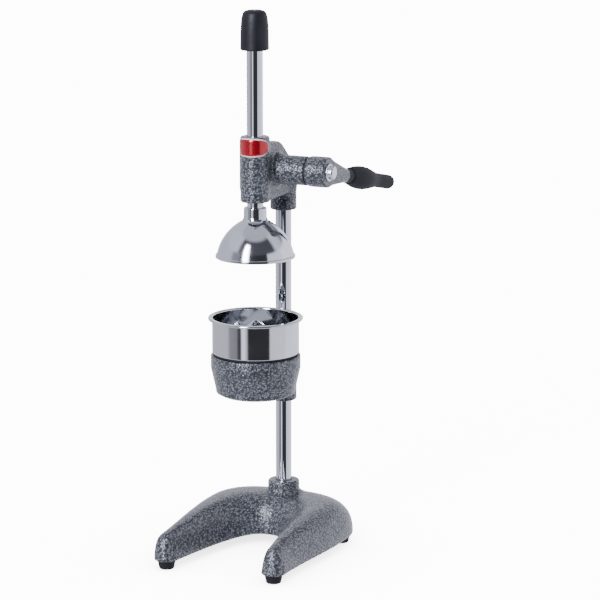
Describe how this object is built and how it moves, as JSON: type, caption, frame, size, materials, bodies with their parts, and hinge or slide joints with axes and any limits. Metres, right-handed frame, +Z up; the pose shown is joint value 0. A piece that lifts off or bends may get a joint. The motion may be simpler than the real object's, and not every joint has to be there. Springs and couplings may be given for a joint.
{
  "type": "lever citrus press",
  "caption": "Free-standing lever press for citrus halves: a gear on the side lever drives a toothed rod and domed bell down onto a ribbed reamer in a strainer cup over a juice bowl.",
  "frame": {"origin": "middle of the outline's bounding box, on the table under the feet", "axes": "+Z up, -Y to the front where the glass goes in, +X the side that carries the lever, which points back at rest"},
  "size_m": [0.1958, 0.3814, 0.6785],
  "materials": {
    "hammered_paint": "glossy grey hammered enamel on cast iron",
    "chrome": "polished chrome plate",
    "stainless": "polished stainless sheet",
    "aluminium": "polished cast aluminium",
    "steel": "plain machined steel",
    "bronze": "plain bearing bronze",
    "black_plastic": "satin black",
    "grip_plastic": "satin dark slate",
    "rubber": "matte black rubber",
    "badge": "glossy red with a pale border, no lettering"
  },
  "bodies": {
    "stand": {"base_casting": "hammered_paint", "foot_front_left": "rubber", "foot_front_right": "rubber", "foot_rear_left": "rubber", "foot_rear_right": "rubber", "foot_screws": "steel", "column": "chrome", "column_bolt": "steel", "column_washer": "steel", "head_casting": "hammered_paint", "head_set_screws": "steel", "gear_cover": "hammered_paint", "gear_cover_screws": "steel", "sleeve_bushes": "bronze", "cover_bush": "bronze", "thrust_washer": "black_plastic", "badge_plate": "badge", "bowl_casting": "hammered_paint", "bowl_set_screws": "steel", "seat_gasket": "rubber"},
    "strainer": {"strainer_cup": "stainless", "reamer_cone": "aluminium"},
    "plunger": {"rack_rod": "chrome", "rod_knob": "black_plastic", "press_bell": "aluminium", "bell_washer": "steel", "bell_screw": "steel"},
    "lever": {"drive_gear": "steel", "gear_shaft": "steel", "gear_key": "steel", "lever_hub": "hammered_paint", "hub_key": "steel", "hub_cap": "chrome", "lever_core": "steel", "grip_collar": "black_plastic", "lever_grip": "grip_plastic"}
  },
  "joints": [
    {"name": "lever_turn", "type": "hinge", "parent": "stand", "child": "lever", "pos_m": [0, -0.0335, 0.4805], "axis": [1, 0, 0], "range_deg": [0, 204.6]},
    {"name": "plunger_slide", "type": "slide", "parent": "stand", "child": "plunger", "axis": [0, 0, -1], "range_m": [0, 0.1]},
    {"name": "strainer_lift", "type": "slide", "parent": "stand", "child": "strainer", "axis": [0, 0, 1], "range_m": [0, 0.008]}
  ],
  "couplings": [
    {"joint": "plunger_slide", "follows": "lever_turn", "m_per_rad": 0.028}
  ]
}
